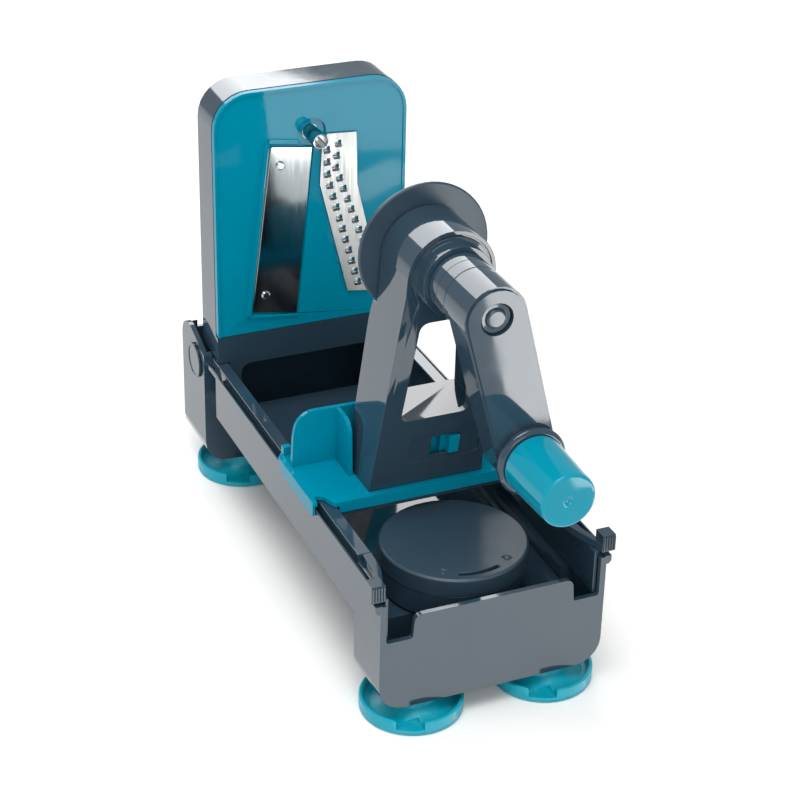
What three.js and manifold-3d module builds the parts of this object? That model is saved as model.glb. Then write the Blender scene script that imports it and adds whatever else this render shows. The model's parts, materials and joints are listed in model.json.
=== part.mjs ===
// Table-top spiral slicer: a long tray on suction feet, a sliding carriage with a crank tower,
// and an upright blade cassette at the far end.
// Millimetres. +X is to the right seen from the crank, +Y runs from the crank to the blades, +Z is up.
// The origin is under the middle of the slicer, on the table.
import * as THREE from 'three';
import { mergeVertices } from 'three/addons/utils/BufferGeometryUtils.js';
import Module from 'manifold-3d';

const wasm = await Module();
wasm.setup();

// ---------- driving dimensions ----------
const GAP = 0.3;                  // clearance between pieces that touch
const FAR = 400;                  // longer than the whole slicer, for cutting tools

// tray
const TRAY_HALF_WIDTH = 61.2;
const TRAY_FRONT = -134.9;
const TRAY_WALL = 2.8;
const LEG_BOTTOM = 12.3;
const LEG_CORNER = 14;
const FRONT_LEG_REAR = -101.8;
const BEAM_BOTTOM = 50;
const BEAM_TOP = 79.5;
const BELLY_HALF_WIDTH = 55;
const FLOOR_TOP = 45;
const FLOOR_THICKNESS = 2.5;
const FRONT_WALL_TOP = 66;
const NOTCH_BOTTOM = 53;
const POST_FRONT = 106;           // inward posts that carry the rear ends of the rails
const POST_INNER = 53.2;
const REAR_BLOCK_FRONT = 125.2;
const REAR_BLOCK_REAR = 164.7;
const REAR_BLOCK_HALF_WIDTH = 62.6;
const REAR_WALL_TOP = 84;
const GROOVE_BOTTOM = 75;         // floor of the groove outside each rail
const PAD_TOP = 75.6;             // top of the pads under the press tabs
const PAD_BOTTOM = 70.8;
const PAD_OUTER = 63.9;
const NOTCH_SHOULDER = 44;        // inner edge of the front wall's corner notches
const NOTCH_OUTER = 58;
const EAR_TOP = 92.3;

// rails and the press tabs at their front ends
const RAIL_INNER = 50.8;
const RAIL_OUTER = 57.7;
const RAIL_TOP = 81.6;
const RAIL_FLANGE = 1.8;
const RAIL_LEG_INNER = 55.9;
const RAIL_FRONT = -97.2;
const RAIL_REAR = 124.9;
const RAIL_LEG_TOP = 77.2;        // top of the leg in front of the rail, under the press arm
const ARM_STRIP_BOTTOM = 77.6;
const TAB_INNER = 58.7;
const TAB_OUTER = 65.8;
const TAB_DEPTH = 8.5;
const TAB_TOP = 87;
const TAB_RIBS = 5;

// round caps on the ears
const CAP_Y = 140.2;
const CAP_Z = 74.2;
const CAP_RADIUS = 10.4;
const CAP_STUB_RADIUS = 5.6;

// suction feet
const FOOT_X = 36.5;
const FRONT_FOOT_Y = -118.6;
const REAR_FOOT_Y = 136;
const FOOT_RADIUS = 26.6;
const FOOT_STUD_RADIUS = 5;
const FOOT_LIP_TOP = 7.6;
const FOOT_LIP_WIDTH = 2.2;
const FOOT_DISH = 3.6;            // height of the dish inside the lip

// round cup in the front of the tray
const CUP_Y = -84.8;
const CUP_RADIUS = 38;
const LID_RADIUS = 38.5;
const LID_TOP = 70.4;
const CUP_WALL = 1.8;
const CUP_SHOULDER = 60;          // where the lid's skirt sits on the cup

// curved slot and two round marks in the lid: radius from its centre, and degrees round from +X
const SLOT_RADIUS = 32.8;
const SLOT_START = -110;
const SLOT_END = -71;
const SLOT_HALF_WIDTH = 1.2;
const MARK_RADIUS = 31.3;
const MARK_ANGLES = [-124, -56];

// blade cassette
const PLATE_FRONT = 115.9;
const PLATE_THICKNESS = 2.9;
const PLATE_BOTTOM = 98.8;
const HOUSING_HALF_WIDTH = 57;
const HOUSING_TOP = 244.2;
const HOUSING_REAR = 142.2;
const HOUSING_CORNER = 20.5;
const HOUSING_WALL = 2.6;
const BAR_BOTTOM = 79.6;
const HOUSING_LEG_INNER = 43;
const HOUSING_LEG_REAR = 127.5;
const SKIRT_BOTTOM = 66;          // rear skirt that closes the gap over the tray
const EXIT_HALF_WIDTH = 46;
const EXIT_BOTTOM = 104;
const EXIT_TOP = 228;
const BLADE_THICKNESS = 1;
const RIVET_SHANK = 1.4;

// corners of the straight blade, its bed, its ridges and slot, and of the toothed strip, in X and Z
const BLADE_CORNERS = [[-35.6, 111.3], [-9.1, 107.1], [0.2, 207.2], [-23.5, 210.5]];
const BLADE_BED = [[-36.6, 110.2], [-8, 106.2], [1.4, 208.2], [-24.4, 211.6]];
const SIDE_RIDGE = [[-39.8, 110.2], [-37.3, 110], [-25.6, 213.4], [-27.6, 213.8]];
const TOP_RIDGE = [[-25.2, 212.9], [-3, 210], [-3, 212.3], [-25, 215.4]];
const FOOT_RIDGE = [[-39.6, 108.4], [-7.6, 104.8], [-7.6, 106], [-39.6, 109.7]];
const SLICE_SLOT = [[-37.1, 111.5], [-35.9, 111.5], [-23.9, 209.5], [-25.1, 209.5]];
const RIVET_PLACES = [[-18.5, 199], [-27.9, 121.3]];
const STRIP_CORNERS = [
  [22, 116], [43.5, 113], [27.3, 181.5], [26.4, 213.3], [8.9, 214.4], [5.9, 206.8], [4.7, 184.7],
];

// rows of small cutting teeth, each a bent line of places in X and Z
const TOOTH_ROWS = [
  { top: [8.8, 204.3], bend: [9.2, 188], bottom: [28.4, 120.1], count: 13 },
  { top: [15.6, 207.2], bend: [13.8, 194], bottom: [38.5, 126], count: 13 },
];
const TOOTH_HALF = 1.8;           // half a tooth's width
const TOOTH_GAP = 2.7;            // height of the hole over a tooth
const TOOTH_RISE = 1.8;           // how far a tooth stands out

// coring tube
const TUBE_RADIUS = 4.3;
const TUBE_TIP = 101.6;
const TUBE_Z = 215.8;

// crank axis
const CRANK_Z = 212.3;
const SHAFT_RADIUS = 3.9;
const BUSH_BORE = 4.15;
const BUSH_RADIUS = 6.4;

// carriage
const CARRIAGE_TOP = 84.5;
const CARRIAGE_PLATE = 2.4;
const CARRIAGE_FRONT = -52.7;
const CARRIAGE_REAR = 5.2;
const LIP_BOTTOM = 78.2;
const LIP_HALF_WIDTH = 49.6;
const HOOK_OUTER = 62.9;
const WING_FRONT = -11.8;
const WING_THICKNESS = 2.5;
const WING_TOP = 116.4;
const FIN_FRONT = -30.5;
const HOOK_FRONT = -48.8;
const HOOK_BOTTOM = 76.4;
const TONGUE_TOP = 117;
const KEEPER_THICKNESS = 2.4;
const KEEPER_SCREWS = [[-38, -44], [38, -44], [-38, -12], [38, -12]];
const SCREW_HOLE = 1.9;

// tower
const TOWER_BASE_HALF_WIDTH = 32;
const TOWER_BASE_FRONT = -49.1;
const TOWER_BASE_REAR = -23.4;
const TOWER_BASE = CARRIAGE_TOP + GAP;
const HEAD_RADIUS = 23.4;
const HEAD_FRONT = -71.8;
const HEAD_REAR = -38.8;
const LEAN_TOP_Z = 205;           // where the leaning front face meets the upright head
const TOWER_WALL = 2.8;
const SILL_TOP = 127;
const WINDOW_TOP = 187;
const WINDOW_FRAME = 4;           // thickness of the face around the window
const LATCH_BOTTOM = 99;
const LATCH_TOP = 114.8;
const BOSS_RADIUS = 18.5;
const BOSS_FRONT = -79.6;

// crank
const SLEEVE_RADIUS = 16;
const SLEEVE_REAR = -80.1;
const SLEEVE_FRONT = -97.4;
const ARM_HUB_REAR = -97.8;
const ARM_REAR = -101.8;
const ARM_FRONT = -122.2;
const ARM_LENGTH = 81.4;
const ARM_ANGLE = 14.7;           // degrees from straight down towards +X
const ARM_HEAD_RADIUS = 16.2;
const ARM_END_RADIUS = 15.6;
const ARM_EDGE = 1.4;             // depth of the step round the arm's face
const DISC_RADIUS = 34.9;
const DISC_FRONT = -38.1;
const DISC_REAR = -35.6;
const SHAFT_FRONT = -116;
const SHAFT_REAR = -34.4;
const CAP_SEAT = -119.3;          // floor of the well that holds the crank cap

// knob
const FLANGE_RADIUS = 18.4;
const FLANGE_FRONT = -127.3;
const KNOB_BASE = -127.7;
const KNOB_END = -164.7;
const KNOB_BASE_RADIUS = 15.7;
const KNOB_END_RADIUS = 14.3;
const AXLE_RADIUS = 3;

// colours
const SLATE = { color: 0x35424e, roughness: 0.22, metalness: 0 };
const TEAL = { color: 0x0091a8, roughness: 0.25, metalness: 0 };
const STEEL = { color: 0xc8c9c7, roughness: 0.2, metalness: 1 };
const SOFT_TEAL = { color: 0x0b8b9e, roughness: 0.35, metalness: 0 };
const BUSH_WHITE = { color: 0xd9dad4, roughness: 0.5, metalness: 0 };

const slicer = new THREE.Group();

// ---------- helpers ----------

// A closed three.js geometry as a solid that can be joined and cut.
function solid(geometry) {
  const bare = geometry.clone();
  bare.deleteAttribute('normal');
  bare.deleteAttribute('uv');
  const merged = mergeVertices(bare, 1e-4);
  return new wasm.Manifold(new wasm.Mesh({
    numProp: 3,
    vertProperties: new Float32Array(merged.attributes.position.array),
    triVerts: new Uint32Array(merged.index.array),
  }));
}

// Adds a solid to the slicer as a named mesh.
function addPiece(name, body, finish) {
  const result = body.getMesh();
  const geometry = new THREE.BufferGeometry();
  geometry.setAttribute('position', new THREE.BufferAttribute(result.vertProperties, 3));
  geometry.setIndex(new THREE.BufferAttribute(result.triVerts, 1));
  geometry.computeVertexNormals();
  const mesh = new THREE.Mesh(geometry, new THREE.MeshStandardMaterial(finish));
  mesh.name = name;
  slicer.add(mesh);
}

// Points of an outline whose corners [a, b, radius] are rounded by arcs.
function outline(corners, steps = 5) {
  const points = [];
  corners.forEach(([a, b, radius = 0], i) => {
    const before = corners[(i + corners.length - 1) % corners.length];
    const after = corners[(i + 1) % corners.length];
    const here = new THREE.Vector2(a, b);
    if (radius === 0) {
      points.push(here);
      return;
    }
    const toBefore = new THREE.Vector2(before[0], before[1]).sub(here).normalize();
    const toAfter = new THREE.Vector2(after[0], after[1]).sub(here).normalize();
    const half = Math.acos(THREE.MathUtils.clamp(toBefore.dot(toAfter), -1, 1)) / 2;
    const bisector = toBefore.clone().add(toAfter).normalize();
    const centre = here.clone().addScaledVector(bisector, radius / Math.sin(half));
    const first = here.clone().addScaledVector(toBefore, radius / Math.tan(half)).sub(centre);
    const last = here.clone().addScaledVector(toAfter, radius / Math.tan(half)).sub(centre);
    const turn = Math.atan2(first.cross(last), first.dot(last));
    for (let k = 0; k <= steps; k += 1) {
      points.push(first.clone().rotateAround(new THREE.Vector2(), (turn * k) / steps).add(centre));
    }
  });
  return points;
}

function extrude(points, length) {
  const shape = new THREE.Shape(points);
  return new THREE.ExtrudeGeometry(shape, { depth: length, bevelEnabled: false, curveSegments: 1 });
}

// An outline in X and Y, extruded upwards.
function prismUp(corners, z0, z1, steps) {
  return solid(extrude(outline(corners, steps), z1 - z0).translate(0, 0, z0));
}

// An outline in X and Z, extruded along Y.
function prismAlong(corners, y0, y1, steps) {
  return solid(extrude(outline(corners, steps), y1 - y0).rotateX(Math.PI / 2).translate(0, y1, 0));
}

// An outline in Y and Z, extruded along X.
function prismAcross(corners, x0, x1, steps) {
  const geometry = extrude(outline(corners, steps), x1 - x0);
  geometry.rotateX(Math.PI / 2);
  geometry.rotateZ(Math.PI / 2);
  return solid(geometry.translate(x0, 0, 0));
}

function box(x0, x1, y0, y1, z0, z1) {
  const geometry = new THREE.BoxGeometry(x1 - x0, y1 - y0, z1 - z0);
  return solid(geometry.translate((x0 + x1) / 2, (y0 + y1) / 2, (z0 + z1) / 2));
}

// A profile of [radius, height] points turned about an upright axis.
function turnedUp(profile, x, y, segments = 32) {
  const points = profile.map(([r, h]) => new THREE.Vector2(r, h));
  const geometry = new THREE.LatheGeometry(points, segments);
  return solid(geometry.rotateX(Math.PI / 2).translate(x, y, 0));
}

// A profile of [radius, y] points, y rising, turned about an axis along Y through (x, z).
function turnedAlong(profile, x, z, segments = 32) {
  const points = profile.map(([r, y]) => new THREE.Vector2(r, y));
  return solid(new THREE.LatheGeometry(points, segments).translate(x, 0, z));
}

function upright(radius, z0, z1, x, y) {
  return turnedUp([[0, z0], [radius, z0], [radius, z1], [0, z1]], x, y, 20);
}

function rod(radius, y0, y1, x, z, segments = 32) {
  return turnedAlong([[0, y0], [radius, y0], [radius, y1], [0, y1]], x, z, segments);
}

function ring(inner, outer, y0, y1, x, z, segments = 32) {
  return rod(outer, y0, y1, x, z, segments).subtract(rod(inner, y0 - 1, y1 + 1, x, z, segments));
}

function joined(solids) {
  return solids.reduce((whole, part) => whole.add(part));
}

function mirrored(body) {
  return body.mirror([1, 0, 0]);
}

function bothSides(body) {
  return body.add(mirrored(body));
}

// ---------- tray ----------

function legSection(halfWidth, bottom, top, corner) {
  return [[-halfWidth, top], [-halfWidth, bottom, corner], [halfWidth, bottom, corner], [halfWidth, top]];
}

function trayOutside() {
  const frontLeg = prismAlong(
    legSection(TRAY_HALF_WIDTH, LEG_BOTTOM, BEAM_TOP, LEG_CORNER), TRAY_FRONT, FRONT_LEG_REAR);
  const beam = prismAlong(
    legSection(TRAY_HALF_WIDTH, BEAM_BOTTOM, BEAM_TOP, 2), FRONT_LEG_REAR - 1, REAR_BLOCK_FRONT + 1, 2);
  const belly = prismAlong(
    legSection(BELLY_HALF_WIDTH, FLOOR_TOP - FLOOR_THICKNESS, BEAM_BOTTOM + 1, 2),
    FRONT_LEG_REAR - 1, REAR_BLOCK_FRONT + 1, 2);
  const block = prismAlong(
    legSection(REAR_BLOCK_HALF_WIDTH, LEG_BOTTOM, EAR_TOP + 2, LEG_CORNER),
    REAR_BLOCK_FRONT, REAR_BLOCK_REAR);
  const earProfile = prismAcross([
    [REAR_BLOCK_FRONT, LEG_BOTTOM - 1], [REAR_BLOCK_REAR, LEG_BOTTOM - 1],
    [REAR_BLOCK_REAR, EAR_TOP, 11], [149, EAR_TOP, 20], [REAR_BLOCK_FRONT, RAIL_TOP + 2],
  ], -FAR, FAR);
  return joined([frontLeg, beam, belly, block.intersect(earProfile)]);
}

function trayInside() {
  const innerFront = TRAY_FRONT + TRAY_WALL;
  const innerHalf = TRAY_HALF_WIDTH - TRAY_WALL;
  const pocketFloor = LEG_BOTTOM + TRAY_WALL;
  const pocketCorner = LEG_CORNER - TRAY_WALL;
  const legRearWall = FRONT_LEG_REAR - TRAY_WALL;
  const blockWall = REAR_BLOCK_FRONT + TRAY_WALL;
  const blockHalf = REAR_BLOCK_HALF_WIDTH - TRAY_WALL;
  const blockRear = REAR_BLOCK_REAR - TRAY_WALL;
  const trough = box(-innerHalf, innerHalf, innerFront, POST_FRONT, BEAM_BOTTOM + TRAY_WALL, FAR);
  const throat = box(-POST_INNER, POST_INNER, POST_FRONT - 1, blockRear, BEAM_BOTTOM + TRAY_WALL, FAR);
  const bellyHollow = box(
    -BELLY_HALF_WIDTH + TRAY_WALL, BELLY_HALF_WIDTH - TRAY_WALL, innerFront, blockWall + 1, FLOOR_TOP, FAR);
  const frontPocket = prismAlong(
    legSection(innerHalf, pocketFloor, FAR, pocketCorner), innerFront, legRearWall);
  const rearPocket = prismAlong(
    legSection(blockHalf, pocketFloor, FAR, pocketCorner), blockWall, blockRear);
  return joined([trough, throat, bellyHollow, frontPocket, rearPocket]);
}

function frontWallCut() {
  const notch = NOTCH_OUTER;
  const shoulder = NOTCH_SHOULDER;
  const cut = [
    [-notch, FAR], [-notch, NOTCH_BOTTOM, 1.5], [-shoulder, NOTCH_BOTTOM, 1],
    [-shoulder + 1, FRONT_WALL_TOP, 4], [shoulder - 1, FRONT_WALL_TOP, 4],
    [shoulder, NOTCH_BOTTOM, 1], [notch, NOTCH_BOTTOM, 1.5], [notch, FAR],
  ];
  return prismAlong(cut, TRAY_FRONT - 1, TRAY_FRONT + TRAY_WALL + 0.5, 4);
}

// The pad that stands out from each front corner under its press tab.
function tabPad() {
  return prismAlong([
    [TRAY_HALF_WIDTH - 1, PAD_BOTTOM], [PAD_OUTER - 1.4, PAD_BOTTOM], [PAD_OUTER, PAD_BOTTOM + 1.6],
    [PAD_OUTER, PAD_TOP], [TRAY_HALF_WIDTH - 1, PAD_TOP],
  ], TRAY_FRONT, TRAY_FRONT + TAB_DEPTH);
}

function makeTray() {
  const grooveInner = TRAY_HALF_WIDTH - TRAY_WALL - 1;
  const groove = box(grooveInner, TRAY_HALF_WIDTH - 1, -FAR, REAR_BLOCK_FRONT - 2, GROOVE_BOTTOM, FAR);
  const tabNotch = box(NOTCH_OUTER - 8, FAR, -FAR, TRAY_FRONT + TAB_DEPTH + 1.5, PAD_TOP, FAR);
  const recess = box(BELLY_HALF_WIDTH + 0.8, FAR, 108.7, REAR_BLOCK_FRONT, BEAM_BOTTOM - 10, 77);
  const rearWallCut = box(-54, 54, REAR_BLOCK_REAR - 5, FAR, REAR_WALL_TOP, FAR);
  const housingHalf = HOUSING_HALF_WIDTH + GAP + 0.1;
  const housingSeat = box(
    -housingHalf, housingHalf, REAR_BLOCK_FRONT - 1, REAR_BLOCK_REAR - 5, RAIL_TOP + GAP, FAR);
  let tray = trayOutside();
  [trayInside(), frontWallCut(), rearWallCut, housingSeat].forEach((tool) => {
    tray = tray.subtract(tool);
  });
  [groove, tabNotch, recess].forEach((tool) => {
    tray = tray.subtract(bothSides(tool));
  });
  tray = tray.add(bothSides(tabPad()));
  const studHole = FOOT_STUD_RADIUS + GAP;
  footPlaces().forEach(([x, y]) => {
    tray = tray.subtract(upright(studHole, LEG_BOTTOM - 1, LEG_BOTTOM + 5, x, y));
  });
  const pinHole = capStub(0, 20, CAP_STUB_RADIUS + GAP);
  addPiece('tray', tray.subtract(bothSides(pinHole)), SLATE);
}

// ---------- round caps on the ears ----------

function capStub(start, length, radius) {
  const stub = new THREE.CylinderGeometry(radius, radius, length, 24);
  stub.rotateZ(Math.PI / 2);
  return solid(stub.translate(REAR_BLOCK_HALF_WIDTH - TRAY_WALL + start + length / 2, CAP_Y, CAP_Z));
}

function makeCaps() {
  const discStart = TRAY_WALL + GAP;
  const disc = capStub(discStart, 1.2, CAP_RADIUS);
  const dish = capStub(discStart + 0.8, 1.2, CAP_RADIUS - 1.4);
  const stub = capStub(0.6, discStart, CAP_STUB_RADIUS);
  const cap = disc.subtract(dish).add(stub);
  addPiece('ear_cap_right', cap, SLATE);
  addPiece('ear_cap_left', mirrored(cap), SLATE);
}

// ---------- rails ----------

function makeRails() {
  const flangeBottom = RAIL_TOP - RAIL_FLANGE;
  const legBottom = BEAM_BOTTOM + TRAY_WALL + GAP;
  const section = [
    [RAIL_INNER, flangeBottom], [RAIL_LEG_INNER, flangeBottom], [RAIL_LEG_INNER, legBottom],
    [RAIL_OUTER, legBottom], [RAIL_OUTER, RAIL_TOP], [RAIL_INNER, RAIL_TOP],
  ];
  const postRelief = box(RAIL_INNER - 1, RAIL_OUTER + 1, POST_FRONT - GAP, FAR, legBottom - 1, flangeBottom);
  const frontLeg = box(
    RAIL_LEG_INNER, RAIL_OUTER, TRAY_FRONT + TRAY_WALL + GAP, RAIL_FRONT + 0.5, legBottom, RAIL_LEG_TOP);
  const rail = prismAlong(section, RAIL_FRONT, RAIL_REAR).subtract(postRelief).add(frontLeg);
  addPiece('side_rail_right', rail, SLATE);
  addPiece('side_rail_left', mirrored(rail), SLATE);
}

// The springy arm in front of each rail, ending in a ribbed press tab.
function makeReleaseArms() {
  const front = TRAY_FRONT;
  const rear = RAIL_FRONT - GAP;
  const tabFront = front + 0.8;
  const strip = prismUp([
    [RAIL_INNER, rear], [55.4, rear], [56.6, -118, 40], [61.5, front + 6, 5], [61.5, tabFront],
    [TAB_INNER, tabFront], [56.8, front + 8, 12], [51.6, -112, 30],
  ], ARM_STRIP_BOTTOM, RAIL_TOP, 4);
  let tab = box(TAB_INNER, TAB_OUTER, tabFront, front + TAB_DEPTH, ARM_STRIP_BOTTOM, TAB_TOP);
  for (let i = 0; i < TAB_RIBS; i += 1) {
    const x = TAB_INNER + 0.7 + (i * (TAB_OUTER - TAB_INNER - 1.4)) / (TAB_RIBS - 1);
    tab = tab.add(box(x - 0.45, x + 0.45, front, tabFront + 0.7, ARM_STRIP_BOTTOM + 0.6, TAB_TOP - 0.6));
  }
  const arm = strip.add(tab);
  addPiece('release_arm_right', arm, SLATE);
  addPiece('release_arm_left', mirrored(arm), SLATE);
}

// ---------- suction feet ----------

function footPlaces() {
  return [[-FOOT_X, FRONT_FOOT_Y], [FOOT_X, FRONT_FOOT_Y], [-FOOT_X, REAR_FOOT_Y], [FOOT_X, REAR_FOOT_Y]];
}

// Each foot is a dish with a raised lip, and a notch in the lip for a fingertip.
function makeFeet() {
  const underLeg = LEG_BOTTOM - GAP;
  const aboveFloor = LEG_BOTTOM + TRAY_WALL + GAP;
  const lipInner = FOOT_RADIUS - FOOT_LIP_WIDTH;
  const names = ['foot_front_left', 'foot_front_right', 'foot_rear_left', 'foot_rear_right'];
  footPlaces().forEach(([x, y], i) => {
    const foot = turnedUp([
      [0, 5.2], [12, 4.2], [18, 2], [24.2, 0], [FOOT_RADIUS - 0.7, 0], [FOOT_RADIUS, 0.7],
      [FOOT_RADIUS, FOOT_LIP_TOP - 0.6], [FOOT_RADIUS - 0.6, FOOT_LIP_TOP], [lipInner + 0.6, FOOT_LIP_TOP],
      [lipInner, FOOT_LIP_TOP - 0.6], [lipInner - 1, FOOT_DISH + 0.6], [lipInner - 3, FOOT_DISH],
      [17.5, FOOT_DISH + 0.9], [13.6, 7.2], [12, underLeg], [FOOT_STUD_RADIUS, underLeg],
      [FOOT_STUD_RADIUS, aboveFloor], [FOOT_STUD_RADIUS + 2, aboveFloor],
      [FOOT_STUD_RADIUS + 1, aboveFloor + 3], [0, aboveFloor + 3],
    ], x, y, 48);
    const notch = prismUp([
      [x - 17, y - 17], [x - 3.8, y - 17], [x - 3.8, y - FOOT_RADIUS - 1], [x - 17, y - FOOT_RADIUS - 1],
    ], FOOT_DISH - 0.6, FOOT_LIP_TOP + 1);
    addPiece(names[i], foot.subtract(notch), SOFT_TEAL);
  });
}

// ---------- cup ----------

function lidPoint(radius, degrees) {
  const angle = THREE.MathUtils.degToRad(degrees);
  return [radius * Math.cos(angle), CUP_Y + radius * Math.sin(angle)];
}

function makeCup() {
  const bottom = FLOOR_TOP + GAP;
  const neck = CUP_RADIUS - 2.2;
  const shoulder = CUP_SHOULDER;
  const cup = turnedUp([
    [0, bottom], [CUP_RADIUS - 1.5, bottom], [CUP_RADIUS, bottom + 1.5], [CUP_RADIUS, shoulder],
    [neck, shoulder], [neck, LID_TOP - 3], [neck - CUP_WALL, LID_TOP - 3],
    [neck - CUP_WALL, bottom + CUP_WALL],
    [0, bottom + CUP_WALL],
  ], 0, CUP_Y, 48);
  addPiece('storage_cup', cup, SLATE);
  const skirt = neck + GAP + 0.1;
  const under = LID_TOP - 2.2;
  let lid = turnedUp([
    [0, under], [skirt, under], [skirt, shoulder + GAP], [LID_RADIUS, shoulder + GAP],
    [LID_RADIUS, LID_TOP - 1], [LID_RADIUS - 1, LID_TOP], [0, LID_TOP],
  ], 0, CUP_Y, 48);
  const slotSteps = 8;
  const outer = [];
  const inner = [];
  for (let i = 0; i <= slotSteps; i += 1) {
    const angle = SLOT_START + ((SLOT_END - SLOT_START) * i) / slotSteps;
    outer.push(lidPoint(SLOT_RADIUS + SLOT_HALF_WIDTH, angle));
    inner.unshift(lidPoint(SLOT_RADIUS - SLOT_HALF_WIDTH, angle));
  }
  lid = lid.subtract(prismUp([...outer, ...inner], under - 1, LID_TOP + 1));
  MARK_ANGLES.forEach((angle) => {
    const [x, y] = lidPoint(MARK_RADIUS, angle);
    const centre = upright(1.3, LID_TOP - 1, LID_TOP + 2, x, y);
    lid = lid.subtract(upright(2.4, LID_TOP - 0.7, LID_TOP + 1, x, y).subtract(centre));
  });
  addPiece('cup_lid', lid, SLATE);
}

// ---------- blade cassette ----------

function cassetteOutline(halfWidth, bottom, top, corner, bottomCorner) {
  return [
    [-halfWidth, bottom, bottomCorner], [halfWidth, bottom, bottomCorner],
    [halfWidth, top, corner], [-halfWidth, top, corner],
  ];
}

function makeHousing() {
  const half = HOUSING_HALF_WIDTH;
  const inner = half - HOUSING_WALL;
  const shellFront = PLATE_FRONT + PLATE_THICKNESS + GAP;
  const shellBottom = RAIL_TOP + GAP + 0.3;
  const backWall = HOUSING_REAR - HOUSING_WALL;
  const legInner = HOUSING_LEG_INNER;
  const legOuter = RAIL_INNER - 0.8;
  const legBottom = FLOOR_TOP + GAP;
  const shell = prismAlong(
    cassetteOutline(half, shellBottom, HOUSING_TOP, HOUSING_CORNER, 2), shellFront, HOUSING_REAR, 7);
  const hollow = prismAlong(
    cassetteOutline(inner, PLATE_BOTTOM, HOUSING_TOP - HOUSING_WALL, HOUSING_CORNER - HOUSING_WALL, 2),
    shellFront - 1, backWall, 7);
  const exit = prismAlong(
    cassetteOutline(EXIT_HALF_WIDTH, EXIT_BOTTOM, EXIT_TOP, 8, 4), HOUSING_REAR - 5, HOUSING_REAR + 5, 4);
  const bar = box(-half, half, PLATE_FRONT, shellFront + 1, shellBottom, PLATE_BOTTOM - GAP);
  const legs = prismAlong([
    [-legOuter, legBottom], [-legInner, legBottom], [-legInner, BAR_BOTTOM, 6], [legInner, BAR_BOTTOM, 6],
    [legInner, legBottom], [legOuter, legBottom], [legOuter, shellBottom + 1], [-legOuter, shellBottom + 1],
  ], PLATE_FRONT, HOUSING_LEG_REAR, 4);
  const skirt = box(-legOuter, legOuter, backWall, HOUSING_REAR, SKIRT_BOTTOM, shellBottom + 1);
  const floorCut = box(-legInner, legInner, shellFront + 3, backWall, shellBottom - 1, PLATE_BOTTOM + 1);
  const body = joined([shell.subtract(hollow).subtract(exit), bar, legs, skirt]).subtract(floorCut);
  addPiece('blade_housing', body, SLATE);
}

function makePlate() {
  const plateTop = HOUSING_TOP - 0.3;
  const half = HOUSING_HALF_WIDTH - 0.2;
  const back = PLATE_FRONT + PLATE_THICKNESS;
  const rimWidth = 1.8;
  const plate = prismAlong(
    cassetteOutline(half, PLATE_BOTTOM, plateTop, HOUSING_CORNER, 1), PLATE_FRONT, back, 7);
  const rim = prismAlong(
    cassetteOutline(half, PLATE_BOTTOM, plateTop, HOUSING_CORNER, 1),
    PLATE_FRONT - 0.8, PLATE_FRONT + 0.5, 7);
  const rimHollow = prismAlong(
    cassetteOutline(half - rimWidth, PLATE_BOTTOM - 5, plateTop - rimWidth, HOUSING_CORNER - rimWidth, 0),
    PLATE_FRONT - 2, PLATE_FRONT, 7);
  const ridges = [[SIDE_RIDGE, 1.8], [TOP_RIDGE, 0.9], [FOOT_RIDGE, 0.9]].map(
    ([corners, height]) => prismAlong(corners, PLATE_FRONT - height, PLATE_FRONT + 0.5));
  let body = joined([plate, rim.subtract(rimHollow), ...ridges]);
  const bed = prismAlong(BLADE_BED, PLATE_FRONT - 3, PLATE_FRONT + 1);
  const sliceSlot = prismAlong(SLICE_SLOT, PLATE_FRONT - 3, back + 1);
  const tubeWell = rod(8.6, PLATE_FRONT - 1, PLATE_FRONT + 1.8, 0, TUBE_Z, 24);
  const tubeHole = rod(TUBE_RADIUS + GAP, PLATE_FRONT - 1, back + 1, 0, TUBE_Z, 24);
  [bed, sliceSlot, tubeWell, tubeHole].forEach((tool) => {
    body = body.subtract(tool);
  });
  RIVET_PLACES.forEach(([x, z]) => {
    body = body.subtract(rod(RIVET_SHANK + GAP, PLATE_FRONT - 1, back + 1, x, z, 12));
  });
  const shredHoles = toothPlaces().map(([x, z]) => box(
    x - TOOTH_HALF + 0.4, x + TOOTH_HALF - 0.4, PLATE_FRONT - 1, back + 1, z + 0.3, z + TOOTH_GAP));
  body = body.subtract(joined(shredHoles));
  addPiece('blade_plate', body, TEAL);
}

function makeStraightBlade() {
  const back = PLATE_FRONT + 1 - GAP;
  let blade = prismAlong(BLADE_CORNERS, back - BLADE_THICKNESS, back);
  RIVET_PLACES.forEach(([x, z], i) => {
    blade = blade.subtract(rod(RIVET_SHANK + GAP, back - 3, back + 3, x, z, 12));
    const head = back - BLADE_THICKNESS - GAP;
    const rivet = turnedAlong([
      [0, head - 0.8], [1.8, head - 0.8], [2.6, head - 0.3], [2.6, head], [RIVET_SHANK, head],
      [RIVET_SHANK, PLATE_FRONT + PLATE_THICKNESS + GAP], [0, PLATE_FRONT + PLATE_THICKNESS + GAP],
    ], x, z, 16);
    addPiece(`blade_rivet_${i + 1}`, rivet, STEEL);
  });
  addPiece('straight_blade', blade, STEEL);
}

function toothPlaces() {
  const places = [];
  TOOTH_ROWS.forEach(({ top, bend, bottom, count }) => {
    const upper = Math.hypot(bend[0] - top[0], bend[1] - top[1]);
    const lower = Math.hypot(bottom[0] - bend[0], bottom[1] - bend[1]);
    for (let i = 0; i < count; i += 1) {
      const along = ((upper + lower) * i) / (count - 1);
      const onUpper = along < upper;
      const [from, to] = onUpper ? [top, bend] : [bend, bottom];
      const t = onUpper ? along / upper : (along - upper) / lower;
      places.push([from[0] + t * (to[0] - from[0]), from[1] + t * (to[1] - from[1])]);
    }
  });
  return places;
}

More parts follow.
